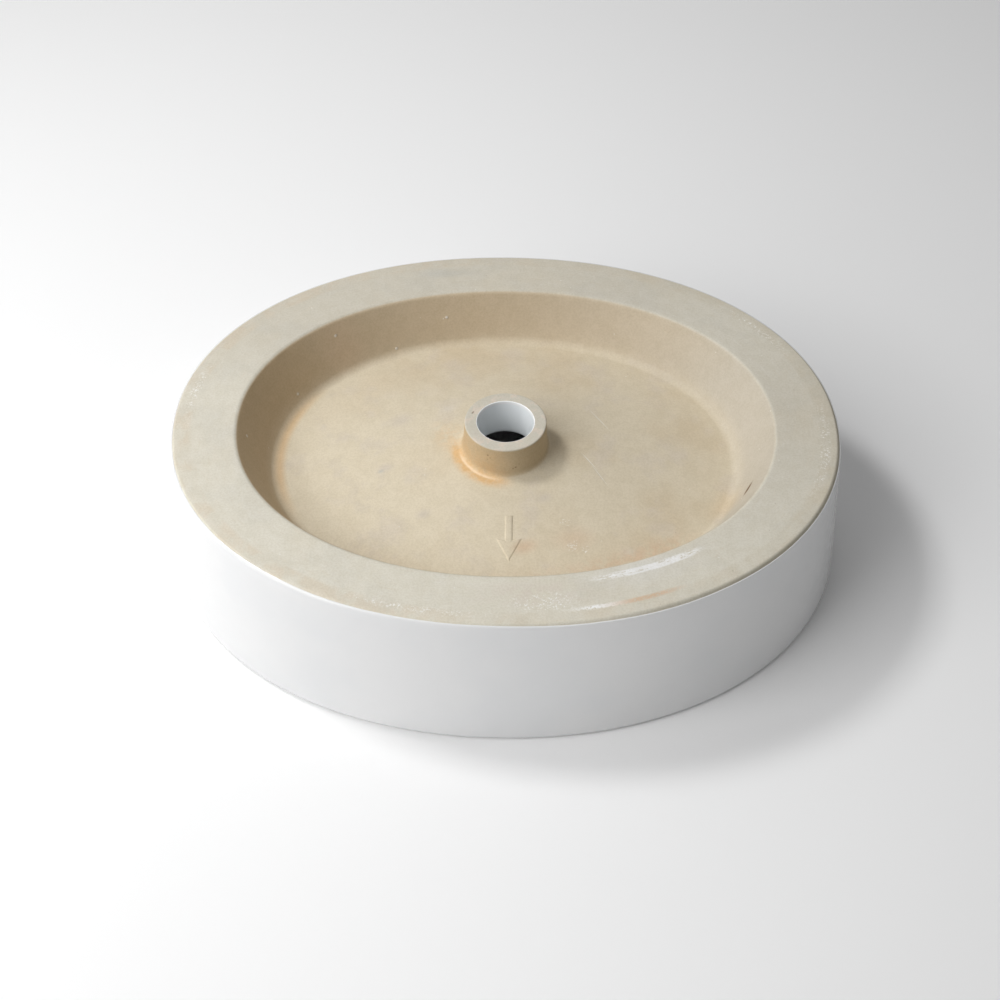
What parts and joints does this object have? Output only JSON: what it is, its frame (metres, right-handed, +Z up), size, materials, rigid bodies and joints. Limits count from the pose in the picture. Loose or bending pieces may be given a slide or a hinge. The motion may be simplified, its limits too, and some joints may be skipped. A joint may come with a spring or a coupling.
{
  "type": "countertop washbasin",
  "caption": "Oval ceramic vessel basin standing upside down, with a bare foot ring, recessed underside and raised drain boss.",
  "frame": {"origin": "centre of the rim plane, on the surface that the upturned basin stands on", "axes": "+Z up out of the underside, along the drain bore; +X along the oval's long axis; -Y towards the front, where the raised arrow points. The basin is in the upside-down pose in which it is stored and inspected; turned half a turn about X it is in its fitted pose."},
  "size_m": [0.5372, 0.427, 0.12],
  "materials": {
    "bare_ceramic": "matt, unglazed, fine grained",
    "white_glaze": "smooth white gloss glaze"
  },
  "bodies": {
    "root": {"foot_ring": "bare_ceramic", "recess_floor": "bare_ceramic", "drain_boss": "bare_ceramic", "bowl_wall": "white_glaze", "bowl_floor": "white_glaze", "wall_glaze": "white_glaze", "bore_glaze": "white_glaze"}
  },
  "joints": []
}
